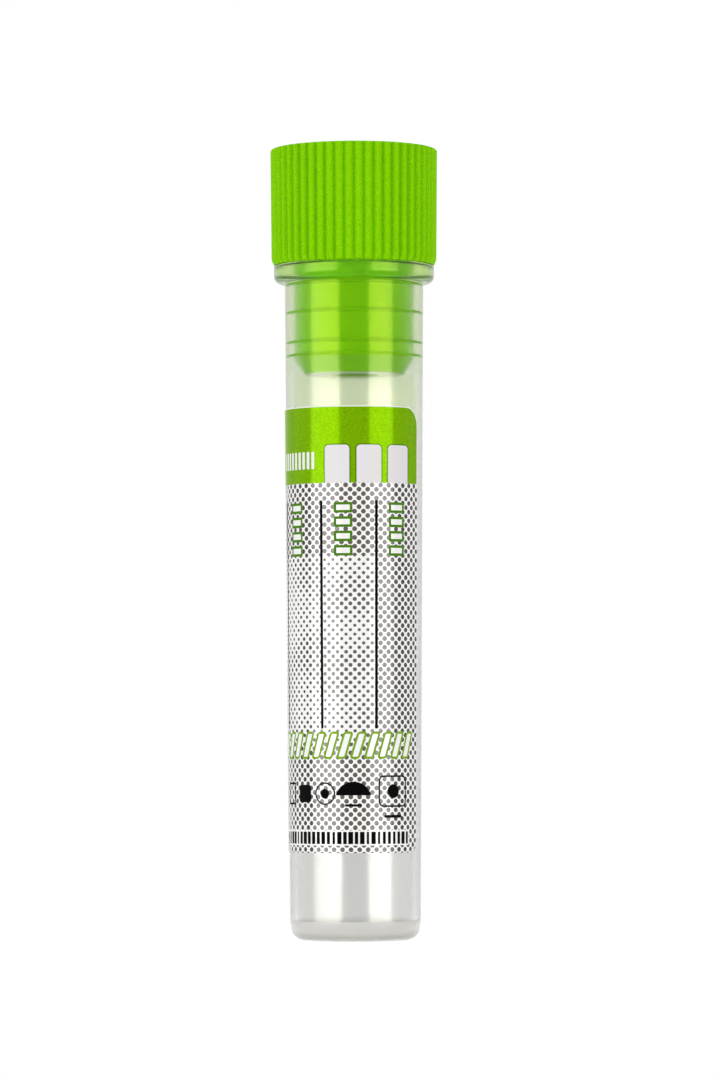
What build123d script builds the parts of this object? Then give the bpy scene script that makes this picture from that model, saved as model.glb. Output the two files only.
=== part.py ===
from build123d import *
from math import cos, radians, sin, tan
import os

# A small blood collection tube: a clear flat-bottomed tube with a collar at its mouth, a ribbed
# push-in stopper and a label wrapped round the wall. Millimetres, +Z up. The origin is the middle
# of the tube's flat base, and the front of the label faces -Y.

# Tube, one clear moulding that tapers towards its base
tube_length = 58.3  # base to the top of the collar
tube_radius = 6.0  # outside, under the collar
wall_thickness = 0.7
floor_thickness = 1.4
tube_draft = 0.385  # degrees a side, the same inside and out
base_round = 1.2
floor_round = 0.6
gate_radius = 0.7  # dimple left by the mould's gate, in the middle of the base
gate_depth = 0.35

# Collar round the tube's mouth, part of the same moulding
collar_overhang = 0.94  # how far it stands out from the wall
collar_height = 1.53
collar_lower_round = 0.45
collar_upper_round = 0.12
collar_root_round = 0.15
mouth_chamfer = 0.15

# Stopper's head, which sits on the collar
head_overhang = 0.21  # how far the ribs stand out past the collar, at the foot of the head
head_height = 10.1
head_draft = 0.5  # degrees a side, wider towards the top
head_foot_chamfer = 0.34  # height of the chamfer that leads down to the collar
head_rim_round = 0.3
head_rim_margin = 0.03  # the rim's round starts this far outside the rib crests
rib_count = 52
rib_depth = 0.28
rib_crown_height = 0.12  # how far the middle of a rib stands above its shoulders
rib_width_share = 0.8  # of the pitch, the rest is the groove
crown_flats = 2  # flats that round the crown off, on each side of its middle
dish_radius = 4.6  # shallow recess in the top of the head
dish_depth = 0.6
dish_round = 0.3

# Stopper's plug, which closes the bore
plug_length = 9.5
plug_gap = 0.1  # between the plug's body and the bore, all the way down
land_length = 1.8  # smooth stretch under the head that fills the bore
seal_clearance = 0.02  # left all round between the bore and the land or a bead
bead_round = 0.25
bead_pitch_lower = 1.15  # between the two lower beads
bead_pitch_upper = 2.6
bead_to_taper = 0.25  # lowest bead's middle to the start of the lead-in taper
taper_length = 1.35
taper_inset = 0.87
tip_round = 0.25
core_radius = 2.1  # blind hole moulded up the middle from the plug's end
core_round = 0.8
roof_thickness = 3.0  # left between the blind hole and the recess in the head

# Label, a printed film stuck to the wall
label_bottom = 7.6  # above the base
label_to_collar = 10.97  # bare wall between the label and the collar
label_thickness = 0.08
glue_thickness = 0.02
label_wrap = 300.0  # degrees round the tube
label_edge = 64.0  # degrees from the front round to the right-hand edge
label_upper_round = 1.7
label_lower_round = 0.9
cutter_margin = 0.2  # how far the corner cutters reach past the label's edges
corner_overrun = 0.05  # makes a corner's arc cross the label's edges, not graze them

# Levels and radii that follow from these
collar_underside = tube_length - collar_height
collar_radius = tube_radius + collar_overhang
seat = tube_length  # the head rests on the collar here
head_top = seat + head_height
head_foot_radius = collar_radius + head_overhang
head_top_radius = head_foot_radius + head_height * tan(radians(head_draft))
plug_end = seat - plug_length
taper_start = plug_end + taper_length
lower_bead = taper_start + bead_to_taper
middle_bead = lower_bead + bead_pitch_lower
upper_bead = middle_bead + bead_pitch_upper
label_top = collar_underside - label_to_collar


def wall_radius(height):
    # outside of the tube's wall at a height above the base
    return tube_radius + (height - collar_underside) * tan(radians(tube_draft))


def bore_radius(height):
    return wall_radius(height) - wall_thickness


def plug_radius(height):
    return bore_radius(height) - plug_gap


def seal_radius(height):
    # outside of the land or a bead at a height
    return bore_radius(height) - seal_clearance


def at_angle(radius, degrees_round):
    return (radius * cos(radians(degrees_round)), radius * sin(radians(degrees_round)))


def corner(section, across, up):
    # the section's corner nearest to a point
    return section.vertices().sort_by_distance((across, up))[0]


def rib_outline(crest_radius):
    # corners of a closed outline: ribs with curved crowns and V-shaped grooves, a groove in front
    pitch = 360 / rib_count
    half_rib = pitch * rib_width_share / 2
    corners = []
    for index in range(rib_count):
        groove_middle = -90 + index * pitch
        corners.append(at_angle(crest_radius - rib_depth, groove_middle))
        for step in range(-crown_flats, crown_flats + 1):
            across = step / crown_flats
            drop = rib_crown_height * across**2
            turn = pitch / 2 + across * half_rib
            corners.append(at_angle(crest_radius - drop, groove_middle + turn))
    return corners


# Tube
with BuildPart() as tube:
    with BuildSketch(Plane.XZ) as tube_section:
        with BuildLine():
            Polyline(
                (0, 0),
                (wall_radius(0), 0),
                (tube_radius, collar_underside),
                (collar_radius, collar_underside),
                (collar_radius, tube_length),
                (bore_radius(tube_length), tube_length),
                (bore_radius(floor_thickness), floor_thickness),
                (0, floor_thickness),
                close=True,
            )
        make_face()
        fillet(corner(tube_section, wall_radius(0), 0), base_round)
        fillet(corner(tube_section, tube_radius, collar_underside), collar_root_round)
        fillet(corner(tube_section, collar_radius, collar_underside), collar_lower_round)
        fillet(corner(tube_section, collar_radius, tube_length), collar_upper_round)
        chamfer(corner(tube_section, bore_radius(tube_length), tube_length), mouth_chamfer)
        fillet(
            corner(tube_section, bore_radius(floor_thickness), floor_thickness), floor_round
        )
    revolve(axis=Axis.Z)
    gate_ball_radius = (gate_radius**2 + gate_depth**2) / (2 * gate_depth)
    with Locations((0, 0, gate_depth - gate_ball_radius)):
        Sphere(gate_ball_radius, mode=Mode.SUBTRACT)

# Stopper
with BuildPart() as cap:
    # ribbed head, wider at the top
    with BuildSketch(Plane.XY.offset(seat)):
        with BuildLine():
            Polyline(*rib_outline(head_foot_radius), close=True)
        make_face()
    with BuildSketch(Plane.XY.offset(head_top)):
        with BuildLine():
            Polyline(*rib_outline(head_top_radius), close=True)
        make_face()
    loft(ruled=True)

    # chamfered foot and rounded rim
    envelope_radius = head_top_radius + head_rim_margin
    foot_slope = head_foot_chamfer / head_overhang
    with BuildSketch(Plane.XZ) as head_envelope:
        with BuildLine():
            Polyline(
                (0, seat),
                (collar_radius, seat),
                (envelope_radius, seat + (envelope_radius - collar_radius) * foot_slope),
                (envelope_radius, head_top),
                (0, head_top),
                close=True,
            )
        make_face()
        fillet(corner(head_envelope, envelope_radius, head_top), head_rim_round)
    revolve(axis=Axis.Z, mode=Mode.INTERSECT)

    # plug with its land, sealing beads and lead-in taper
    tip_radius = plug_radius(taper_start) - taper_inset
    land_end = seat - land_length
    with BuildSketch(Plane.XZ) as plug_section:
        with BuildLine():
            Polyline(
                (0, seat),
                (plug_radius(seat), seat),
                (plug_radius(taper_start), taper_start),
                (tip_radius, plug_end),
                (0, plug_end),
                close=True,
            )
        make_face()
        fillet(corner(plug_section, tip_radius, plug_end), tip_round)
        with BuildLine():
            Polyline(
                (0, seat),
                (seal_radius(seat) - mouth_chamfer, seat),
                (seal_radius(seat - mouth_chamfer), seat - mouth_chamfer),
                (seal_radius(land_end), land_end),
                (0, land_end),
                close=True,
            )
        make_face()
        for height in (lower_bead, middle_bead, upper_bead):
            with Locations((seal_radius(height) - bead_round, height)):
                Circle(bead_round)
    revolve(axis=Axis.Z)

    # recess in the top and blind hole up the middle
    with BuildSketch(Plane.XZ) as recess_section:
        with BuildLine():
            Polyline(
                (0, head_top),
                (dish_radius, head_top),
                (dish_radius - dish_depth, head_top - dish_depth),
                (0, head_top - dish_depth),
                close=True,
            )
        make_face()
        fillet(
            corner(recess_section, dish_radius - dish_depth, head_top - dish_depth), dish_round
        )
    revolve(axis=Axis.Z, mode=Mode.SUBTRACT)
    core_top = head_top - dish_depth - roof_thickness
    with BuildSketch(Plane.XZ) as core_section:
        with BuildLine():
            Polyline(
                (0, plug_end),
                (core_radius, plug_end),
                (core_radius, core_top),
                (0, core_top),
                close=True,
            )
        make_face()
        fillet(corner(core_section, core_radius, core_top), core_round)
    revolve(axis=Axis.Z, mode=Mode.SUBTRACT)

# Label, which runs anticlockwise from its far end to its right-hand end seen from the front
label_end = -90 + label_edge
label_start = label_end - label_wrap


def radial_plane(degrees_round):
    # upright plane through the axis, with X pointing outwards
    outward = at_angle(1, degrees_round)
    return Plane(
        origin=(0, 0, 0),
        x_dir=(outward[0], outward[1], 0),
        z_dir=(outward[1], -outward[0], 0),
    )


def tangent_plane(degrees_round):
    # upright plane that touches the wall, with X pointing anticlockwise
    outward = at_angle(1, degrees_round)
    return Plane(
        origin=at_angle(tube_radius, degrees_round) + (0,),
        x_dir=(-outward[1], outward[0], 0),
        z_dir=(outward[0], outward[1], 0),
    )


with BuildPart() as label:
    inside = glue_thickness
    outside = glue_thickness + label_thickness
    with BuildSketch(radial_plane(label_start)):
        with BuildLine():
            Polyline(
                (wall_radius(label_bottom) + inside, label_bottom),
                (wall_radius(label_bottom) + outside, label_bottom),
                (wall_radius(label_top) + outside, label_top),
                (wall_radius(label_top) + inside, label_top),
                close=True,
            )
        make_face()
    revolve(axis=Axis.Z, revolution_arc=label_wrap)

    # round the corners: each cutter is a square with a quarter disc left out of it
    for end_angle, onward in ((label_start, -1), (label_end, 1)):
        with BuildSketch(tangent_plane(end_angle)):
            for edge, upward, rounding in (
                (label_top, 1, label_upper_round),
                (label_bottom, -1, label_lower_round),
            ):
                side = rounding + cutter_margin
                middle = side / 2 - rounding
                with Locations((onward * middle, edge + upward * middle)):
                    Rectangle(side, side)
                with Locations((-onward * rounding, edge - upward * rounding)):
                    Circle(rounding + corner_overrun, mode=Mode.SUBTRACT)
        extrude(amount=label_thickness + wall_thickness, both=True, mode=Mode.SUBTRACT)

tube.part.label = "tube"
cap.part.label = "cap"
label.part.label = "label"

os.makedirs("parts", exist_ok=True)
export_step(tube.part, "parts/tube.step")
export_step(cap.part, "parts/cap.step")
export_step(label.part, "parts/label.step")
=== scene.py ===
from math import acos, ceil, cos, hypot, inf, pi, radians, sin, sqrt, tan
import bpy
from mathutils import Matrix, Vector


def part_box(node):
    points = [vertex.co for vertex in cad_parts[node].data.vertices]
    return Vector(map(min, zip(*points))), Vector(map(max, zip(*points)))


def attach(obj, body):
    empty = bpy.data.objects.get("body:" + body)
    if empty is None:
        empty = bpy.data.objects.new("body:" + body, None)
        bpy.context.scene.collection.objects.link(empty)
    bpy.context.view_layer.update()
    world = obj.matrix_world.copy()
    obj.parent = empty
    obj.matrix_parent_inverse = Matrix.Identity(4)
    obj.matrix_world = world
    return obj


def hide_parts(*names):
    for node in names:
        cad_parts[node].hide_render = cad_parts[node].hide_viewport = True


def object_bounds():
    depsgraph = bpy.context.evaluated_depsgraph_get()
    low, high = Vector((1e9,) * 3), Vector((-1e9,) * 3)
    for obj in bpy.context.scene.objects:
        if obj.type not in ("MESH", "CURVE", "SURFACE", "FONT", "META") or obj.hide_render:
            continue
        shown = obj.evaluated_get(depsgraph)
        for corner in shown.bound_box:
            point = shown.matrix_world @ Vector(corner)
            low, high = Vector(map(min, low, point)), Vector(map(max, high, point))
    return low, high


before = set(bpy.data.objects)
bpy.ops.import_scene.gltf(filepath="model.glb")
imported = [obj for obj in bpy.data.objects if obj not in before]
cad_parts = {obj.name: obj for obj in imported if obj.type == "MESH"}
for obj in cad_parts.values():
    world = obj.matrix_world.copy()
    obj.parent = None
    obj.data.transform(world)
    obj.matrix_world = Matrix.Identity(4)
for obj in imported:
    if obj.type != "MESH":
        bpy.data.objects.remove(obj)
cadLow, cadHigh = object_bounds()
mm = 0.001  # sizes below are written as millimetres times this, so every value is in metres

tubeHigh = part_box("tube")[1]
capLow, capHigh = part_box("cap")
labelLow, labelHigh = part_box("label")
seat = tubeHigh.z  # the stopper's head rests here, on the collar
headTop = capHigh.z
plugEnd = capLow.z
taperTop = plugEnd + 1.35 * mm  # the plug's lead-in taper ends here
labelBottom = labelLow.z
labelTop = labelHigh.z


# Meshes

def roundedLine(corners):
    # points through (across, up, rounding) corners, with each rounding drawn as an arc
    stepAngle = radians(9)
    points = [Vector(corners[0][:2])]
    for before, corner, after in zip(corners, corners[1:], corners[2:]):
        middle = Vector(corner[:2])
        rounding = corner[2]
        if rounding == 0:
            points.append(middle)
            continue
        back = (Vector(before[:2]) - middle).normalized()
        onward = (Vector(after[:2]) - middle).normalized()
        half = back.angle(onward) / 2
        centre = middle + (back + onward).normalized() * (rounding / sin(half))
        firstArm = (middle + back * (rounding / tan(half)) - centre).normalized()
        lastArm = (middle + onward * (rounding / tan(half)) - centre).normalized()
        steps = max(2, ceil((pi - 2 * half) / stepAngle))
        for step in range(steps + 1):
            points.append(centre + firstArm.slerp(lastArm, step / steps) * rounding)
    points.append(Vector(corners[-1][:2]))
    return points


def supported(profile):
    # extra points near both ends of each long run, so that smooth shading leaves it straight
    gap = 0.1 * mm
    points = [profile[0]]
    for here, there in zip(profile, profile[1:]):
        run = there - here
        if run.length > 6 * gap:
            step = run.normalized() * gap
            points += [here + step, there - step]
        points.append(there)
    return points


def turned(profile, turns, limit=None):
    # a profile of (radius, height) points turned round Z through a list of angles; limit gives
    # the largest radius at an angle and a height, and a point on the axis is a single vertex
    onAxis = 1e-9
    vertices, faces, rings = [], [], []
    for radius, height in supported(profile):
        first = len(vertices)
        if radius < onAxis:
            vertices.append((0, 0, height))
            rings.append([first] * len(turns))
            continue
        for turn in turns:
            reach = min(radius, limit(turn, height)) if limit else radius
            vertices.append((reach * cos(turn), reach * sin(turn), height))
        rings.append(list(range(first, len(vertices))))
    for lower, upper in zip(rings, rings[1:]):
        for here in range(len(turns)):
            there = (here + 1) % len(turns)
            face = [lower[here], lower[there], upper[there], upper[here]]
            faces.append(list(dict.fromkeys(face)))
    return vertices, faces


def meshPiece(name, vertices, faces, body, node, sharpAngle):
    mesh = bpy.data.meshes.new(name)
    mesh.from_pydata(vertices, [], faces)
    mesh.validate()
    mesh.shade_smooth()
    mesh.set_sharp_from_angle(angle=sharpAngle)
    piece = bpy.data.objects.new(name, mesh)
    bpy.context.scene.collection.objects.link(piece)
    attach(piece, body)
    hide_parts(node)
    return piece


# Node trees

def newNode(tree, kind, inputs=None, **settings):
    # inputs are plain values, or the output sockets that feed them
    made = tree.nodes.new("ShaderNode" + kind)
    row, column = divmod(len(tree.nodes), 14)
    made.location = (column * 190, -row * 260)
    for setting, value in settings.items():
        setattr(made, setting, value)
    for key, value in (inputs or {}).items():
        if isinstance(value, bpy.types.NodeSocket):
            tree.links.new(value, made.inputs[key])
        else:
            made.inputs[key].default_value = value
    return made


def maths(tree, operation, *values):
    return newNode(tree, "Math", dict(enumerate(values)), operation=operation).outputs[0]


def blended(tree, factor, first, second):
    # a colour between two others
    inputs = {"Factor": factor, 6: first, 7: second}
    return newNode(tree, "Mix", inputs, data_type="RGBA").outputs[2]


def newGroup(name, inputs, outputs):
    tree = bpy.data.node_groups.new(name, "ShaderNodeTree")
    for label, value in inputs.items():
        isColour = isinstance(value, tuple)
        kind = "NodeSocketColor" if isColour else "NodeSocketFloat"
        socket = tree.interface.new_socket(name=label, in_out="INPUT", socket_type=kind)
        socket.default_value = value
    for label, kind in outputs.items():
        tree.interface.new_socket(name=label, in_out="OUTPUT", socket_type="NodeSocket" + kind)
    start = tree.nodes.new("NodeGroupInput")
    end = tree.nodes.new("NodeGroupOutput")
    return tree, start.outputs, end.inputs


def placed(tree, group, inputs):
    return newNode(tree, "Group", inputs, node_tree=group).outputs


def newMaterial(name):
    material = bpy.data.materials.new(name)
    material.use_nodes = True
    material.node_tree.nodes.clear()
    return material, material.node_tree


def finished(tree, shader):
    newNode(tree, "OutputMaterial", {"Surface": shader})


def letsLightThrough(tree, shader, colour):
    # shadow rays pass the surface with a tint, everything else sees the shader
    through = newNode(tree, "BsdfTransparent", {"Color": colour})
    isShadow = newNode(tree, "LightPath").outputs["Is Shadow Ray"]
    return newNode(tree, "MixShader", {0: isShadow, 1: shader, 2: through.outputs[0]}).outputs[0]


def bumped(tree, height, distance):
    return newNode(tree, "Bump", {"Height": height, "Distance": distance}).outputs["Normal"]


def mouldedSkinGroup():
    # surface of a moulding: fine eroded grain, and a slow drift in tone and gloss
    tree, given, result = newGroup(
        "mouldedSkin",
        {
            "Colour": (0.5, 0.5, 0.5, 1),
            "Tone Drift": 0.05,
            "Grain Tone": 0.0,
            "Roughness": 0.3,
            "Gloss Drift": 0.1,
            "Grain Size": 0.1 * mm,
            "Drift Size": 4 * mm,
        },
        {"Colour": "Color", "Roughness": "Float", "Height": "Float"},
    )
    place = newNode(tree, "TexCoord").outputs["Object"]
    grainScale = maths(tree, "DIVIDE", 1.0, given["Grain Size"])
    driftScale = maths(tree, "DIVIDE", 1.0, given["Drift Size"])
    grain = newNode(tree, "TexNoise", {"Vector": place, "Scale": grainScale, "Detail": 2.0})
    drift = newNode(tree, "TexNoise", {"Vector": place, "Scale": driftScale, "Detail": 3.0})
    slow = maths(tree, "SUBTRACT", drift.outputs["Fac"], 0.5)
    fine = maths(tree, "SUBTRACT", grain.outputs["Fac"], 0.5)
    tone = maths(tree, "MULTIPLY_ADD", slow, given["Tone Drift"], 1.0)
    tone = maths(tree, "MULTIPLY_ADD", fine, given["Grain Tone"], tone)
    shaded = newNode(tree, "VectorMath", {0: given["Colour"]}, operation="SCALE")
    tree.links.new(tone, shaded.inputs["Scale"])
    rough = maths(tree, "MULTIPLY_ADD", slow, given["Gloss Drift"], given["Roughness"])
    rough = maths(tree, "MAXIMUM", rough, 0.02)
    tree.links.new(shaded.outputs[0], result["Colour"])
    tree.links.new(rough, result["Roughness"])
    tree.links.new(grain.outputs["Fac"], result["Height"])
    return tree


mouldedSkin = mouldedSkinGroup()


def skinShader(tree, look, colour, roughness, inputs, grainTone=0.0):
    # shader with the moulded skin's drift and grain; colour, roughness and grain tone are plain
    # values or sockets, and inputs are the shader's other ones
    skin = placed(tree, mouldedSkin, {
        "Colour": colour,
        "Tone Drift": look["toneDrift"],
        "Grain Tone": grainTone,
        "Roughness": roughness,
        "Gloss Drift": look["glossDrift"],
        "Grain Size": look["grainSize"],
        "Drift Size": look["driftSize"],
    })
    return newNode(tree, "BsdfPrincipled", {
        "Base Color": skin["Colour"],
        "Roughness": skin["Roughness"],
        "Normal": bumped(tree, skin["Height"], look["grainDepth"]),
        **inputs,
    }).outputs[0]


# Clear tube with its collar

tubeShape = {
    "wallRadius": 6.0 * mm,  # outside, just under the collar
    "wall": 0.7 * mm,
    "floor": 1.4 * mm,
    "draft": radians(0.385),
    "baseRound": 1.2 * mm,
    "floorRound": 0.2 * mm,
    "gateRadius": 0.7 * mm,
    "gateDepth": 0.35 * mm,
    "collarHeight": 1.53 * mm,
    "collarRadius": tubeHigh.x,
    "collarRoot": 0.15 * mm,
    "collarLowerRound": 0.6 * mm,
    "collarUpperRound": 0.17 * mm,
    "mouthChamfer": 0.15 * mm,
    "mouthRound": 0.03 * mm,
    "segments": 256,
}
tubeLook = {
    "roughness": 0.15,
    "refraction": 1.40,
    "toneDrift": 0.02,
    "glossDrift": 0.05,
    "driftSize": 6 * mm,
    "grainSize": 0.4 * mm,
    "grainDepth": 0.001 * mm,
    "upperFrom": labelTop - 2 * mm,  # above this the wall's green colour is painted light from the stopper
    "hazeTo": 1.7 * mm,  # the thick base is hazy up to here
}
# one finish for each zone of the moulding; the green tints and green shine near the stopper are
# painted light, the darker bore by the taper painted shade; shadow tints the light that passes to
# what is inside
tubeFinishes = {
    "clearWall": {
        "colour": (0.755, 0.755, 0.745, 1),
        "shineTint": (1.0, 1.0, 0.9, 1), "shadow": (0.95, 0.96, 0.93, 1),
    },
    # above the label: the greenish colour is painted green light from the stopper, and the shine is
    # tinted
    "clearUpperWall": {
        "colour": (0.73, 0.785, 0.625, 1),
        "shineTint": (0.88, 0.8, 0.72, 1), "shadow": (0.93, 0.95, 0.9, 1),
    },
    # beside the plug and its taper: the green in the colour is painted light from the stopper, the
    # yellow-green shine tint a painted green reflection; shadow dims and greens the light reaching
    # the plug
    "clearWallByPlug": {
        "colour": (0.66, 0.74, 0.50, 1),
        "shineTint": (0.93, 1.0, 0.13, 1), "shadow": (0.45, 0.6, 0.1, 1),
    },
    "clearWallByTaper": {
        "colour": (0.67, 0.75, 0.55, 1),
        "shineTint": (0.93, 1.0, 0.3, 1), "shadow": (0.45, 0.6, 0.1, 1),
    },
    # bore where the plug sits: the green shine tint is a painted green reflection of the plug
    "clearBoreByPlug": {
        "colour": (0.92, 0.95, 0.97, 1),
        "shineTint": (0.5, 0.7, 0.02, 1), "shadow": (0.72, 0.75, 0.68, 1),
    },
    # bore by the taper: its darker colour is painted shade on the downward-facing taper, and the
    # shine tint a painted green reflection
    "clearBoreByTaper": {
        "colour": (0.86, 0.88, 0.92, 1),
        "shineTint": (0.6, 0.8, 0.4, 1), "shadow": (0.68, 0.71, 0.64, 1),
    },
    # collar: its green is partly the thick plastic's own tint and partly painted green light from
    # the stopper seen through it; the shine tint is a painted green reflection
    "clearCollar": {
        "colour": (0.44, 0.65, 0.2, 1),
        "shineTint": (0.97, 1.0, 0.3, 1), "shadow": (0.5, 0.58, 0.25, 1),
    },
    "hazyBase": {
        "colour": (0.72, 0.705, 0.69, 1), "clearness": 0.3,
        "shineTint": (1.0, 1.0, 0.9, 1), "shadow": (0.75, 0.78, 0.71, 1),
    },
}
collarUnderside = seat - tubeShape["collarHeight"]


def wallRadius(height):
    # outside of the tapering wall
    return tubeShape["wallRadius"] + (height - collarUnderside) * tan(tubeShape["draft"])


def boreRadius(height):
    return wallRadius(height) - tubeShape["wall"]


def evenTurns(count):
    return [2 * pi * index / count for index in range(count)]


def gatePoints():
    # shallow dimple in the middle of the base, from the axis out to just inside its rim
    radius, depth = tubeShape["gateRadius"], tubeShape["gateDepth"]
    ball = (radius**2 + depth**2) / (2 * depth)
    half = acos(1 - depth / ball)
    steps = 8
    turns = [half * step / steps for step in range(steps)]
    return [Vector((ball * sin(turn), ball * (cos(turn) - cos(half)))) for turn in turns]


def makeTube():
    shape = tubeShape
    mouthFoot = seat - shape["mouthChamfer"]
    zoneEdges = (tubeLook["upperFrom"], plugEnd, taperTop)  # where the finish changes
    outside = roundedLine([
        (shape["gateRadius"], 0, 0),
        (wallRadius(0), 0, shape["baseRound"]),
        (wallRadius(tubeLook["hazeTo"]), tubeLook["hazeTo"], 0),
        *[(wallRadius(height), height, 0) for height in zoneEdges],
        (shape["wallRadius"], collarUnderside, shape["collarRoot"]),
        (shape["collarRadius"], collarUnderside, shape["collarLowerRound"]),
        (shape["collarRadius"], seat, shape["collarUpperRound"]),
        (boreRadius(seat) + shape["mouthChamfer"], seat, shape["mouthRound"]),
        (boreRadius(mouthFoot), mouthFoot, shape["mouthRound"]),
        *[(boreRadius(height), height, 0) for height in reversed(zoneEdges)],
        (boreRadius(shape["floor"]), shape["floor"], shape["floorRound"]),
        (0, shape["floor"], 0),
    ])
    vertices, faces = turned(gatePoints() + outside, evenTurns(shape["segments"]))
    return meshPiece("clearTube", vertices, faces, "tube", "tube", sharpAngle=radians(50))


def clearPlastic(name, finish):
    material, tree = newMaterial(name)
    shader = skinShader(tree, tubeLook, finish["colour"], tubeLook["roughness"], {
        "IOR": tubeLook["refraction"],
        "Transmission Weight": finish.get("clearness", 1.0),
        "Specular Tint": finish["shineTint"],
    })
    finished(tree, letsLightThrough(tree, shader, finish["shadow"]))
    return material


def tubeFinish(centre):
    # which finish a face of the tube takes
    isBore = hypot(centre.x, centre.y) < boreRadius(centre.z) + tubeShape["wall"] / 4
    if not isBore and centre.z > collarUnderside:
        return "clearCollar"
    if centre.z > plugEnd:
        side = "clearBoreBy" if isBore else "clearWallBy"
        return side + ("Taper" if centre.z < taperTop else "Plug")
    if not isBore and centre.z < tubeLook["hazeTo"]:
        return "hazyBase"
    return "clearUpperWall" if centre.z > tubeLook["upperFrom"] else "clearWall"


tube = makeTube()
for name, finish in tubeFinishes.items():
    tube.data.materials.append(clearPlastic(name, finish))
for polygon in tube.data.polygons:
    polygon.material_index = list(tubeFinishes).index(tubeFinish(polygon.center))
print("tube made")


# Stopper: ribbed head, and the plug with its land, beads and blind core

capShape = {
    "footRadius": 7.15 * mm,  # rib crests at the foot of the head
    "draft": radians(0.5),
    "footChamfer": 0.34 * mm,
    "rimRound": 0.3 * mm,
    "rimMargin": 0.03 * mm,
    "ribs": 52,
    "ribDepth": 0.40 * mm,
    "crownHeight": 0.18 * mm,
    "crownShare": 0.62,  # of the pitch, the rest is the groove
    "crownSteps": 7,
    "grooveSteps": 5,
    "dishRadius": 4.6 * mm,
    "dishDepth": 0.6 * mm,
    "dishRound": 0.3 * mm,
    "edgeRound": 0.08 * mm,
    "footRound": 0.02 * mm,  # at the inner end of the foot's chamfer
    "chamferRound": 0.1 * mm,  # at its outer end
    "seatSqueeze": 0.004 * mm,  # how far the head presses on the collar
    "plugGap": 0.1 * mm,
    "neckRound": 0.03 * mm,  # where the plug meets the head
    "landLength": 1.8 * mm,
    "landTop": collarUnderside - 0.02 * mm,  # the plug is free of the bore above this
    "landSlope": 0.1 * mm,  # height over which the plug widens to the land
    "landRound": 0.05 * mm,
    "seal": 0.028 * mm,  # squeeze of the land and beads into the wall
    "beadRound": 0.25 * mm,
    "beads": (1.6 * mm, 2.75 * mm, 5.35 * mm),  # above the plug's end
    "taperInset": 0.87 * mm,
    "taperRound": 0.2 * mm,
    "tipRound": 0.25 * mm,
    "coreRadius": 2.1 * mm,
    "coreRound": 0.8 * mm,
    "roof": 3.0 * mm,
}
capLook = {
    "refraction": 1.5,
    "shineTint": (0.6, 1.0, 0.05, 1),
    "toneDrift": 0.06,
    "glossDrift": 0.1,
    "driftSize": 3 * mm,
    "grainTone": 1.0,
    "grainSize": 0.1 * mm,
}
capFinishes = {
    "greenSatinHead": {
        "colour": (0.262, 0.69, 0.002, 1), "roughness": 0.5, "shine": 0.04,
        "grainDepth": 0.012 * mm,
    },
    "greenSmoothPlug": {
        "colour": (0.23, 0.62, 0.002, 1), "roughness": 0.16, "shine": 0.1,
        "grainDepth": 0.0015 * mm,
    },
}


def ribTurns():
    # angles across every rib, closer together in the narrow grooves, with a groove in front
    pitch = 2 * pi / capShape["ribs"]
    groove = pitch * (1 - capShape["crownShare"])
    turns = []
    for rib in range(capShape["ribs"]):
        start = -pi / 2 + rib * pitch - groove / 2
        for step in range(capShape["grooveSteps"]):
            turns.append(start + groove * step / capShape["grooveSteps"])
        for step in range(capShape["crownSteps"]):
            turns.append(start + groove + (pitch - groove) * step / capShape["crownSteps"])
    return turns


def ribRadius(turn, height):
    # outside of the ribs: a curved crown, then a narrow groove with a rounded bottom
    shape = capShape
    crest = shape["footRadius"] + (height - seat) * tan(shape["draft"])
    share = ((turn + pi / 2) * shape["ribs"] / (2 * pi)) % 1  # 0 in the middle of a groove
    fromCrest = abs(share - 0.5) * 2
    if fromCrest <= shape["crownShare"]:
        return crest - shape["crownHeight"] * (fromCrest / shape["crownShare"]) ** 2
    intoGroove = (fromCrest - shape["crownShare"]) / (1 - shape["crownShare"])
    deeper = shape["ribDepth"] - shape["crownHeight"]
    return crest - shape["crownHeight"] - deeper * sin(intoGroove * pi / 2)


def capLimit(turn, height):
    # only the head is cut to the ribs
    return ribRadius(turn, height) if height >= seat else inf


def plugRadius(height):
    return boreRadius(height) - capShape["plugGap"]


def beadPoints(height):
    # round bead on the plug, pressed slightly into the wall
    rounding = capShape["beadRound"]
    middle = boreRadius(height) + capShape["seal"] - rounding
    half = acos((plugRadius(height) - middle) / rounding)
    steps = 8
    turns = [half * (2 * step / steps - 1) for step in range(steps + 1)]
    return [
        Vector((middle + rounding * cos(turn), height + rounding * sin(turn))) for turn in turns
    ]


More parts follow.
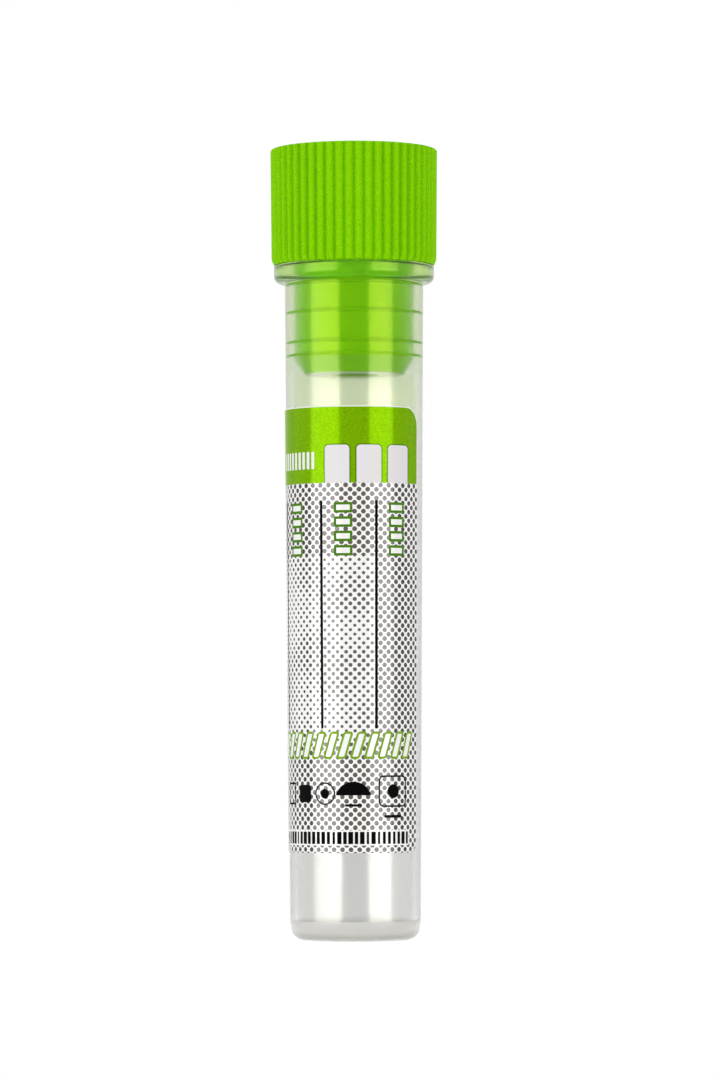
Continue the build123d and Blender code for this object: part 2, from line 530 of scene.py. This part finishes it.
def makeCap():
    shape = capShape
    dishFloor = headTop - shape["dishDepth"]
    roof = dishFloor - shape["roof"]
    landEnd = seat - shape["landLength"]
    landRadius = boreRadius(landEnd) + shape["seal"]
    headFoot = seat - shape["seatSqueeze"]
    envelope = shape["footRadius"] + (headTop - seat) * tan(shape["draft"]) + shape["rimMargin"]
    collarRadius = tubeShape["collarRadius"]
    footSlope = shape["footChamfer"] / (shape["footRadius"] - collarRadius)
    footTop = seat + (envelope - collarRadius) * footSlope
    tip = roundedLine([
        (0, roof, 0),
        (shape["coreRadius"], roof, shape["coreRound"]),
        (shape["coreRadius"], plugEnd, shape["edgeRound"]),
        (plugRadius(taperTop) - shape["taperInset"], plugEnd, shape["tipRound"]),
        (plugRadius(taperTop), taperTop, shape["taperRound"]),
        (plugRadius(taperTop), taperTop + shape["landSlope"], 0),
    ])
    beads = [point for above in shape["beads"] for point in beadPoints(plugEnd + above)]
    head = roundedLine([
        (plugRadius(landEnd), landEnd - shape["landSlope"], 0),
        (landRadius, landEnd, shape["landRound"]),
        (landRadius, shape["landTop"], 0),
        (plugRadius(shape["landTop"]), shape["landTop"] + shape["landSlope"], 0),
        (plugRadius(seat), headFoot, shape["neckRound"]),
        (collarRadius - shape["footRound"], headFoot, shape["footRound"]),
        (envelope, footTop, shape["chamferRound"]),
        (envelope, headTop, shape["rimRound"]),
        (shape["dishRadius"], headTop, shape["edgeRound"]),
        (shape["dishRadius"] - shape["dishDepth"], dishFloor, shape["dishRound"]),
        (0, dishFloor, 0),
    ])
    vertices, faces = turned(tip + beads + head, ribTurns(), capLimit)
    return meshPiece("ribbedStopper", vertices, faces, "cap", "cap", sharpAngle=radians(42))


def greenPlastic(name, finish):
    material, tree = newMaterial(name)
    look = {**capLook, **finish}
    shader = skinShader(tree, look, look["colour"], look["roughness"], {
        "IOR": look["refraction"],
        "Specular IOR Level": look["shine"],
        "Specular Tint": look["shineTint"],
    }, look["grainTone"])
    finished(tree, shader)
    return material


cap = makeCap()
for name, finish in capFinishes.items():
    cap.data.materials.append(greenPlastic(name, finish))
for polygon in cap.data.polygons:
    polygon.material_index = 1 if polygon.center.z < seat else 0
print("stopper made")


# Label: a film with rounded corners, printed on its outer face

labelShape = {
    "edge": radians(64),  # from the front round to the right-hand end
    "wrap": radians(300),
    "glue": 0.02 * mm,
    "thickness": 0.08 * mm,
    "upperRound": 1.7 * mm,
    "lowerRound": 0.9 * mm,
    "columns": 260,
    "edgeColumns": 20,
    "printRadius": 5.87 * mm,  # arc lengths of the print are measured at this radius
    "bandBottom": 39.2 * mm,  # the coloured band runs from here to the top
    "margin": 0.09 * mm,  # bare film left all round the print
}
filmLook = {
    "white": (0.95, 0.95, 0.925, 1),
    "black": (0.004, 0.004, 0.004, 1),
    "tab": (0.84, 0.82, 0.84, 1),
    # dots near the front are lighter than their ink, a painted sheen
    "dot": (0.112, 0.090, 0.080, 1),
    "inkDot": (0.026, 0.020, 0.018, 1),  # the dots' own ink, away from the front and its painted sheen
    "boxGreen": (0.07, 0.21, 0.001, 1),
    "plateGreen": (0.2, 0.37, 0.001, 1),
    "roughness": 0.16,
    "inkRoughness": 0.75,  # of the black and green print
    "greenSheen": 0.8,  # the green print tints most of what it reflects, the black all of it
    "refraction": 1.5,
    "shine": 0.45,
    "toneDrift": 0.03,
    "glossDrift": 0.08,
    "driftSize": 5 * mm,
    "grainTone": 0.04,
    "grainSize": 0.25 * mm,
    "grainDepth": 0.002 * mm,
    "shadow": (0.75, 0.75, 0.73, 1),  # each face of the thin film lets this much light through
}
bandLook = {
    **filmLook,
    "green": (0.186, 0.42, 0.001, 1),
    "shadowGreen": (0.05, 0.17, 0.001, 1),
    "shineTint": (1.0, 1.0, 0.05, 1),
    "shine": 0.04,
    "inkSheen": 0.115,  # the ink tints this share of what it reflects
    "grainTone": 1.5,
    "grainSize": 0.1 * mm,
}
backLook = {
    "colour": (0.9, 0.9, 0.88, 1),
    "roughness": 0.5,
    "toneDrift": 0.06,
    "glossDrift": 0.1,
    "driftSize": 4 * mm,
    "grainSize": 0.3 * mm,
    "grainDepth": 0.003 * mm,
}
# places on the print, in millimetres: round the tube from the front, and above the base
solid = 10.0  # a line this wide fills any shape
printPlan = {
    "tabs": {"first": -1.5, "pitch": 2.75, "count": 3, "width": 2.15, "top": 42.45,
             "corner": 0.35, "shadow": 0.09},
    "bars": {"first": -7.9, "pitch": 0.52, "count": 9, "low": 40.4, "high": 41.9,
             "width": 0.3, "corner": 0.1},
    "rules": {"first": -7.73, "pitch": 4.8, "count": 3, "low": 18.2, "high": 37.7,
              "width": 0.25, "corner": 0.02},
    "boxes": {"inset": 1.95, "count": 4, "low": 32.8, "high": 37.7,
              "width": 1.6, "fill": 0.74, "corner": 0.1, "line": 0.22},
    "plates": {"first": -8.1, "pitch": 1.2, "count": 12, "low": 15.6, "high": 17.95,
               "width": 0.88, "lean": 0.3, "corner": 0.3, "line": 0.2},
    "dashes": {"first": -7.9, "pitch": 0.5, "count": 27, "low": 8.35, "high": 9.4,
               "least": 0.1, "spread": 0.12, "corner": 0.05},  # of half a dash's width
    "strip": {"margin": 0.12, "corner": 0.1},  # bare film under the dashes
    # the painted sheen on the dots fades out from 2.2 to 4.4 round from the front
    "dots": {"pitch": 0.75, "large": 0.41, "small": 0.27, "sheenFadeFrom": 2.2, "sheenFadeTo": 4.4},
    "patches": {"middle": (-5.2, 25.0), "half": (7.2, 8.0), "corner": 0.5,
                "noiseScale": 0.16, "noiseFrom": 0.42, "noiseTo": 0.58},
    "signLevel": 12.65,
    "signs": (  # middle round the tube and above the signs' level, half size, corner, line
        ((-7.0, 0), (0.75, 0.95), 0.06, 0.17),
        ((-4.9, 0), (0.75, 0.75), 0.25, solid),
        ((-2.72, 0), (0.97, 0.97), 0.97, 0.14),
        ((-2.72, 0), (0.42, 0.42), 0.42, solid),
        ((-0.15, -1.0), (0.75, 0.1), 0.1, solid),
        ((3.5, 0.2), (1.45, 1.35), 0.5, 0.15),
        ((3.5, 0.2), (0.6, 0.6), 0.6, solid),
        ((3.5, -1.95), (0.9, 0.12), 0.1, solid),
    ),
    "halfDisc": {"middle": (-0.15, -0.6), "radius": 1.62, "cut": -0.15},
}


def labelColumns():
    # distances from the right-hand end, closer together by the rounded corners
    shape = labelShape
    length = shape["wrap"] * shape["printRadius"]
    corner = shape["upperRound"]
    near = [corner * (k / shape["edgeColumns"]) ** 2 for k in range(shape["edgeColumns"])]
    between = [
        corner + (length - 2 * corner) * k / shape["columns"] for k in range(shape["columns"] + 1)
    ]
    return near + between + [length - distance for distance in reversed(near)]


def cornerDrop(distance, rounding):
    # how far a rounded corner falls short of the square one, at a distance from the end
    if distance >= rounding:
        return 0.0
    return rounding - sqrt(rounding**2 - (rounding - distance) ** 2)


def filmSections():
    # corners of the film's section at every column, and their places on the print
    shape = labelShape
    length = shape["wrap"] * shape["printRadius"]
    inside = shape["glue"]
    outside = shape["glue"] + shape["thickness"]
    vertices, places = [], []
    for distance in labelColumns():
        fromEnd = min(distance, length - distance)
        low = labelBottom + cornerDrop(fromEnd, shape["lowerRound"])
        high = labelTop - cornerDrop(fromEnd, shape["upperRound"])
        turn = shape["edge"] - distance / shape["printRadius"]
        for height, offset in (
            (low, outside), (shape["bandBottom"], outside), (high, outside),
            (high, inside), (low, inside),
        ):
            radius = wallRadius(height) + offset
            vertices.append((radius * sin(turn), -radius * cos(turn), height))
            places.append((turn * shape["printRadius"] / mm, height / mm))
    return vertices, places


def unwrapLabel(mesh, places):
    # two maps: the sheet for baking, and the places on the print
    sheet = mesh.uv_layers.new(name="OFBake")
    printing = mesh.uv_layers.new(name="printPlace")
    right, left = places[0][0], places[-1][0]
    low, high = labelBottom / mm, labelTop / mm
    for polygon in mesh.polygons:
        # the outer face fills the left of the sheet, all other faces a strip at its right
        start, width = (0.81, 0.18) if polygon.material_index == 2 else (0.01, 0.78)
        for loop in polygon.loop_indices:
            around, height = places[mesh.loops[loop].vertex_index]
            across = (right - around) / (right - left)
            up = (height - low) / (high - low)
            sheet.data[loop].uv = (start + width * across, 0.01 + 0.98 * up)
            printing.data[loop].uv = (around, height)
    mesh.uv_layers.active = sheet


def makeLabel():
    # five sides: field and band on the outer face, then the top edge, the back and the bottom
    sides = 5
    vertices, places = filmSections()
    last = len(vertices) - sides
    faces = []
    for here in range(0, last, sides):
        there = here + sides
        for side in range(sides):
            after = (side + 1) % sides
            faces.append((here + side, here + after, there + after, there + side))
    faces.append(tuple(reversed(range(sides))))
    faces.append(tuple(range(last, last + sides)))
    piece = meshPiece(
        "printedLabel", vertices, faces, "tube", "label", sharpAngle=radians(35)
    )
    for polygon in piece.data.polygons:
        isOutside = polygon.index < last and polygon.index % sides < 2
        polygon.material_index = polygon.index % sides if isOutside else 2
    unwrapLabel(piece.data, places)
    return piece


def printShapeGroup():
    # mask of a rounded rectangle: an outline of the given width, or solid if that is wide
    tree, given, result = newGroup(
        "printShape",
        {
            "Around": 0.0, "Height": 0.0, "Centre Around": 0.0, "Centre Height": 0.0,
            "Half Width": 1.0, "Half Height": 1.0, "Corner": 0.1, "Line": solid,
        },
        {"Mask": "Float"},
    )
    reach = []
    for place, centre, half in (
        ("Around", "Centre Around", "Half Width"),
        ("Height", "Centre Height", "Half Height"),
    ):
        away = maths(tree, "ABSOLUTE", maths(tree, "SUBTRACT", given[place], given[centre]))
        away = maths(tree, "SUBTRACT", away, given[half])
        reach.append(maths(tree, "ADD", away, given["Corner"]))
    beyond = [maths(tree, "MAXIMUM", value, 0.0) for value in reach]
    squares = [maths(tree, "MULTIPLY", value, value) for value in beyond]
    outer = maths(tree, "SQRT", maths(tree, "ADD", squares[0], squares[1]))
    inner = maths(tree, "MINIMUM", maths(tree, "MAXIMUM", reach[0], reach[1]), 0.0)
    edge = maths(tree, "SUBTRACT", maths(tree, "ADD", outer, inner), given["Corner"])
    halfLine = maths(tree, "MULTIPLY", given["Line"], 0.5)
    fromLine = maths(tree, "ABSOLUTE", maths(tree, "ADD", edge, halfLine))
    tree.links.new(maths(tree, "LESS_THAN", fromLine, halfLine), result["Mask"])
    return tree


def printRowGroup():
    # a row of like places: the distance from the nearest one, and which one it is
    tree, given, result = newGroup(
        "printRow",
        {"Place": 0.0, "First": 0.0, "Pitch": 1.0, "Count": 3.0},
        {"Local": "Float", "Index": "Float"},
    )
    offset = maths(tree, "SUBTRACT", given["Place"], given["First"])
    index = maths(tree, "ROUND", maths(tree, "DIVIDE", offset, given["Pitch"]))
    index = maths(tree, "MAXIMUM", index, 0.0)
    index = maths(tree, "MINIMUM", index, maths(tree, "SUBTRACT", given["Count"], 1.0))
    local = maths(tree, "SUBTRACT", offset, maths(tree, "MULTIPLY", index, given["Pitch"]))
    tree.links.new(local, result["Local"])
    tree.links.new(index, result["Index"])
    return tree


def dotScreenGroup():
    # printed dots on a lattice turned by 45 degrees, with their size given
    tree, given, result = newGroup(
        "dotScreen",
        {"Around": 0.0, "Height": 0.0, "Pitch": 0.75, "Diameter": 0.3},
        {"Mask": "Float"},
    )
    squares = []
    for operation in ("ADD", "SUBTRACT"):
        diagonal = maths(tree, operation, given["Around"], given["Height"])
        cell = maths(tree, "DIVIDE", diagonal, given["Pitch"])
        away = maths(tree, "SUBTRACT", cell, maths(tree, "ROUND", cell))
        squares.append(maths(tree, "MULTIPLY", away, away))
    away = maths(tree, "SQRT", maths(tree, "MULTIPLY", maths(tree, "ADD", *squares), 0.5))
    away = maths(tree, "MULTIPLY", away, given["Pitch"])
    radius = maths(tree, "MULTIPLY", given["Diameter"], 0.5)
    tree.links.new(maths(tree, "LESS_THAN", away, radius), result["Mask"])
    return tree


printShape = printShapeGroup()
printRow = printRowGroup()
dotScreen = dotScreenGroup()


def printPlace(tree):
    # where a point of the film lies on the print: round the tube, and above the base
    place = newNode(tree, "UVMap", uv_map="printPlace").outputs[0]
    split = newNode(tree, "SeparateXYZ", {0: place})
    return place, split.outputs[0], split.outputs[1]


def shapeMask(tree, around, height, middle, half, corner, line=solid):
    return placed(tree, printShape, {
        "Around": around, "Height": height,
        "Centre Around": middle[0], "Centre Height": middle[1],
        "Half Width": half[0], "Half Height": half[1],
        "Corner": corner, "Line": line,
    })["Mask"]


def rowPlace(tree, value, row):
    return placed(tree, printRow, {
        "Place": value, "First": row["first"], "Pitch": row["pitch"], "Count": row["count"],
    })


def span(row):
    # middle height and half height of a row of the print
    return (row["low"] + row["high"]) / 2, (row["high"] - row["low"]) / 2


def either(tree, *masks):
    joined = masks[0]
    for mask in masks[1:]:
        joined = maths(tree, "MAXIMUM", joined, mask)
    return joined


def printedBand():
    # coloured band, with white blocks that stand on the field below and a row of small bars
    material, tree = newMaterial("printedBand")
    around, height = printPlace(tree)[1:]
    shape, look = labelShape, bandLook
    margin = shape["margin"] / mm
    right = shape["edge"] * shape["printRadius"] / mm
    left = right - shape["wrap"] * shape["printRadius"] / mm
    low, high = labelBottom / mm, labelTop / mm
    inked = shapeMask(
        tree, around, height, ((left + right) / 2, (low + high) / 2),
        ((right - left) / 2 - margin, (high - low) / 2 - margin),
        shape["upperRound"] / mm - margin,
    )
    tabs = printPlan["tabs"]
    tabPlace = rowPlace(tree, around, tabs)["Local"]
    foot = shape["bandBottom"] / mm
    tabMask, tabShadow = [
        shapeMask(
            tree, tabPlace, height, (0, foot),
            (tabs["width"] / 2 + grown, tabs["top"] - foot + grown), tabs["corner"] + grown,
        )
        for grown in (0, tabs["shadow"])
    ]
    bars = printPlan["bars"]
    barMiddle, barHalf = span(bars)
    barMask = shapeMask(
        tree, rowPlace(tree, around, bars)["Local"], height, (0, barMiddle),
        (bars["width"] / 2, barHalf), bars["corner"],
    )
    white = either(tree, tabMask, barMask)
    inked = maths(tree, "MULTIPLY", inked, maths(tree, "SUBTRACT", 1.0, white))
    bare = blended(tree, tabMask, look["white"], look["tab"])
    colour = blended(tree, tabShadow, look["green"], look["shadowGreen"])
    colour = blended(tree, inked, bare, colour)
    shader = skinShader(tree, look, colour, look["roughness"], {
        "Metallic": maths(tree, "MULTIPLY", inked, look["inkSheen"]),
        "IOR": look["refraction"],
        "Specular IOR Level": look["shine"],
        "Specular Tint": look["shineTint"],
    }, maths(tree, "MULTIPLY", inked, look["grainTone"]))
    finished(tree, letsLightThrough(tree, shader, look["shadow"]))
    return material


def fieldDots(tree, place, around, height):
    # dot screen over the white field, with smaller dots in patches of its middle
    dots, patches = printPlan["dots"], printPlan["patches"]
    inMiddle = shapeMask(
        tree, around, height, patches["middle"], patches["half"], patches["corner"]
    )
    noise = newNode(tree, "TexNoise", {
        "Vector": place, "Scale": patches["noiseScale"], "Detail": 1.0,
    })
    lighter = newNode(tree, "MapRange", {
        "Value": noise.outputs["Fac"],
        "From Min": patches["noiseFrom"], "From Max": patches["noiseTo"],
        "To Min": dots["small"], "To Max": (dots["small"] + dots["large"]) / 2,
    }, interpolation_type="SMOOTHSTEP")
    size = newNode(tree, "Mix", {0: inMiddle, 2: dots["large"], 3: lighter.outputs[0]})
    return placed(tree, dotScreen, {
        "Around": around, "Height": height, "Pitch": dots["pitch"],
        "Diameter": size.outputs[0],
    })["Mask"]


def fieldSigns(tree, around, height):
    # plain signs in a row, one of them a disc cut in half
    above = maths(tree, "SUBTRACT", height, printPlan["signLevel"])
    signs = [shapeMask(tree, around, above, *sign) for sign in printPlan["signs"]]
    half = printPlan["halfDisc"]
    radius = half["radius"]
    disc = shapeMask(tree, around, above, half["middle"], (radius, radius), radius)
    upper = maths(tree, "GREATER_THAN", above, half["cut"])
    return either(tree, *signs, maths(tree, "MULTIPLY", disc, upper))


def fieldRules(tree, around, height):
    # thin upright rules
    rules = printPlan["rules"]
    middle, half = span(rules)
    return shapeMask(
        tree, rowPlace(tree, around, rules)["Local"], height, (0, middle),
        (rules["width"] / 2, half), rules["corner"],
    )


def fieldBoxes(tree, around, height):
    # a stack of small boxes beside the top of each rule: the boxes, and their outlines
    rules, boxes = printPlan["rules"], printPlan["boxes"]
    pitch = (boxes["high"] - boxes["low"]) / boxes["count"]
    column = {**rules, "first": rules["first"] + boxes["inset"]}
    stack = {"first": boxes["low"] + pitch / 2, "pitch": pitch, "count": boxes["count"]}
    across = rowPlace(tree, around, column)["Local"]
    up = rowPlace(tree, height, stack)["Local"]
    half = (boxes["width"] / 2, pitch * boxes["fill"] / 2)
    return [
        shapeMask(tree, across, up, (0, 0), half, boxes["corner"], line)
        for line in (solid, boxes["line"])
    ]


def fieldPlates(tree, around, height):
    # a row of leaning plates: the plates, and their outlines
    plates = printPlan["plates"]
    middle, half = span(plates)
    rise = maths(tree, "SUBTRACT", height, middle)
    upright = maths(tree, "MULTIPLY_ADD", rise, -plates["lean"], around)
    across = rowPlace(tree, upright, plates)["Local"]
    return [
        shapeMask(
            tree, across, height, (0, middle), (plates["width"] / 2, half), plates["corner"], line
        )
        for line in (solid, plates["line"])
    ]


def fieldDashes(tree, around, height):
    # a row of uneven dashes, and the bare strip that they stand on
    dashes, strip = printPlan["dashes"], printPlan["strip"]
    middle, half = span(dashes)
    place = rowPlace(tree, around, dashes)
    chance = newNode(tree, "TexWhiteNoise", {"W": place["Index"]}, noise_dimensions="1D")
    halfWidth = maths(
        tree, "MULTIPLY_ADD", chance.outputs["Value"], dashes["spread"], dashes["least"]
    )
    dashMask = shapeMask(
        tree, place["Local"], height, (0, middle), (halfWidth, half), dashes["corner"]
    )
    stripMask = shapeMask(
        tree, around, height,
        (dashes["first"] + dashes["pitch"] * (dashes["count"] - 1) / 2, middle),
        (dashes["pitch"] * dashes["count"] / 2, half + strip["margin"]), strip["corner"],
    )
    return dashMask, stripMask


def printedField():
    # dot screen with green and black print over it
    material, tree = newMaterial("printedField")
    place, around, height = printPlace(tree)
    ruleMask = fieldRules(tree, around, height)
    box, boxLine = fieldBoxes(tree, around, height)
    plate, plateLine = fieldPlates(tree, around, height)
    dashMask, strip = fieldDashes(tree, around, height)

    # dots, lighter near the front with a painted sheen, then bare film, then the green print and
    # the black
    look, dots = filmLook, printPlan["dots"]
    # 0 at the front, where the dots carry a painted sheen, up to 1 round the sides, where they show
    # their own ink
    pastSheen = newNode(tree, "MapRange", {
        "Value": maths(tree, "ABSOLUTE", around),
        "From Min": dots["sheenFadeFrom"], "From Max": dots["sheenFadeTo"],
    }).outputs[0]
    dotColourAndSheen = blended(tree, pastSheen, look["dot"], look["inkDot"])
    dotMask = fieldDots(tree, place, around, height)
    blackMask = either(tree, ruleMask, fieldSigns(tree, around, height), dashMask)
    colour = blended(tree, dotMask, look["white"], dotColourAndSheen)
    colour = blended(tree, either(tree, box, plate, strip), colour, look["white"])
    colour = blended(tree, plateLine, colour, look["plateGreen"])
    colour = blended(tree, boxLine, colour, look["boxGreen"])
    colour = blended(tree, blackMask, colour, look["black"])

    # the green and black print is matt, with no pale sheen
    greenMask = either(tree, plateLine, boxLine)
    roughness = newNode(tree, "Mix", {
        0: either(tree, greenMask, blackMask), 2: look["roughness"], 3: look["inkRoughness"],
    }).outputs[0]
    greenSheen = maths(tree, "MULTIPLY", greenMask, look["greenSheen"])
    shader = skinShader(tree, look, colour, roughness, {
        "Metallic": either(tree, blackMask, greenSheen),
        "IOR": look["refraction"],
        "Specular IOR Level": look["shine"],
    }, look["grainTone"])
    finished(tree, letsLightThrough(tree, shader, look["shadow"]))
    return material


def filmBack():
    material, tree = newMaterial("filmBack")
    shader = skinShader(tree, backLook, backLook["colour"], backLook["roughness"], {})
    finished(tree, letsLightThrough(tree, shader, filmLook["shadow"]))
    return material


label = makeLabel()
for film in (printedField(), printedBand(), filmBack()):
    label.data.materials.append(film)
print("label made")


# Floor, world, lamps and camera

stageSettings = {
    "floorRadius": 36 * mm,
    "floorBelow": 0.02 * mm,
    "floorColour": (0.8, 0.8, 0.8, 1),
    "floorGlow": 0.6,
    "ambient": 0.45,
}


def seenDirectly(tree):
    # 1 for camera, glossy and transmission rays that have met no matt surface on their way,
    # which show the plain white surroundings
    path = newNode(tree, "LightPath").outputs
    direct = maths(tree, "MAXIMUM", path["Is Camera Ray"], path["Is Glossy Ray"])
    direct = maths(tree, "MAXIMUM", direct, path["Is Transmission Ray"])
    return maths(tree, "MULTIPLY", direct, maths(tree, "LESS_THAN", path["Diffuse Depth"], 0.5))


def makeFloor():
    # round pale board; the white world carries on past its edge
    down = -stageSettings["floorBelow"]
    rim = [
        (stageSettings["floorRadius"] * cos(turn), stageSettings["floorRadius"] * sin(turn), down)
        for turn in evenTurns(96)
    ]
    mesh = bpy.data.meshes.new("floor")
    mesh.from_pydata(rim, [], [list(range(len(rim)))])
    floor = bpy.data.objects.new("floor", mesh)
    bpy.context.scene.collection.objects.link(floor)
    material, tree = newMaterial("paleFloor")
    matt = newNode(tree, "BsdfDiffuse", {"Color": stageSettings["floorColour"]})
    glow = maths(tree, "MULTIPLY", seenDirectly(tree), stageSettings["floorGlow"])
    lit = newNode(tree, "Emission", {"Strength": glow})
    added = newNode(tree, "AddShader", {0: matt.outputs[0], 1: lit.outputs[0]})
    finished(tree, added.outputs[0])
    mesh.materials.append(material)


def makeWorld():
    world = bpy.data.worlds.new("studio")
    bpy.context.scene.world = world
    world.use_nodes = True
    tree = world.node_tree
    tree.nodes.clear()
    ambient = stageSettings["ambient"]
    level = maths(tree, "MULTIPLY_ADD", seenDirectly(tree), 1.0 - ambient, ambient)
    background = newNode(tree, "Background", {"Color": (1, 1, 1, 1), "Strength": level})
    newNode(tree, "OutputWorld", {"Surface": background.outputs[0]})


# azimuths in degrees round from the front, sizes and distances in metres
lamps = {
    "leftSoftbox": {"azimuth": -50.9, "height": 0.065, "away": 1.6, "wide": 1.54, "high": 0.32,
                    "radiance": 7.6},
    "rightSoftbox": {"azimuth": 45.8, "height": 0.065, "away": 1.6, "wide": 1.21, "high": 0.32,
                     "radiance": 7.6},
    "leftFill": {"azimuth": -98.0, "height": 0.065, "away": 1.6, "wide": 1.23, "high": 0.5,
                 "radiance": 0.5},
    "rightFill": {"azimuth": 91.0, "height": 0.065, "away": 1.6, "wide": 1.42, "high": 0.5,
                  "radiance": 0.5},
    "overhead": {"azimuth": 180.0, "height": 0.75, "away": 0.35, "wide": 0.6, "high": 0.6,
                 "radiance": 2.5},
}


def makeLamps():
    target = Vector((0, 0, (cadLow.z + cadHigh.z) / 2))
    for name, lamp in lamps.items():
        data = bpy.data.lights.new(name, "AREA")
        data.shape = "RECTANGLE"
        data.size = lamp["wide"]
        data.size_y = lamp["high"]
        data.energy = pi * lamp["wide"] * lamp["high"] * lamp["radiance"]
        made = bpy.data.objects.new(name, data)
        turn = radians(lamp["azimuth"])
        made.location = (lamp["away"] * sin(turn), -lamp["away"] * cos(turn), lamp["height"])
        made.rotation_euler = (target - made.location).to_track_quat("-Z", "Y").to_euler()
        made.visible_camera = False
        bpy.context.scene.collection.objects.link(made)


cameraSettings = {
    "aside": 0.29 * mm,
    "distance": 440 * mm,
    "height": 17 * mm,
    "lookUp": radians(2.28),
    "roll": radians(0.14),
    "lens": 169.6,
    "sensor": 36.0,
}


def makeCamera():
    data = bpy.data.cameras.new("camera")
    data.sensor_fit = "VERTICAL"
    data.sensor_height = cameraSettings["sensor"]
    data.lens = cameraSettings["lens"]
    data.clip_start = 0.01
    made = bpy.data.objects.new("camera", data)
    made.location = (cameraSettings["aside"], -cameraSettings["distance"], cameraSettings["height"])
    made.rotation_euler = (pi / 2 + cameraSettings["lookUp"], cameraSettings["roll"], 0)
    bpy.context.scene.collection.objects.link(made)
    bpy.context.scene.camera = made


makeFloor()
makeWorld()
makeLamps()
makeCamera()
bpy.context.scene.view_settings.view_transform = "Standard"
print("stage made")
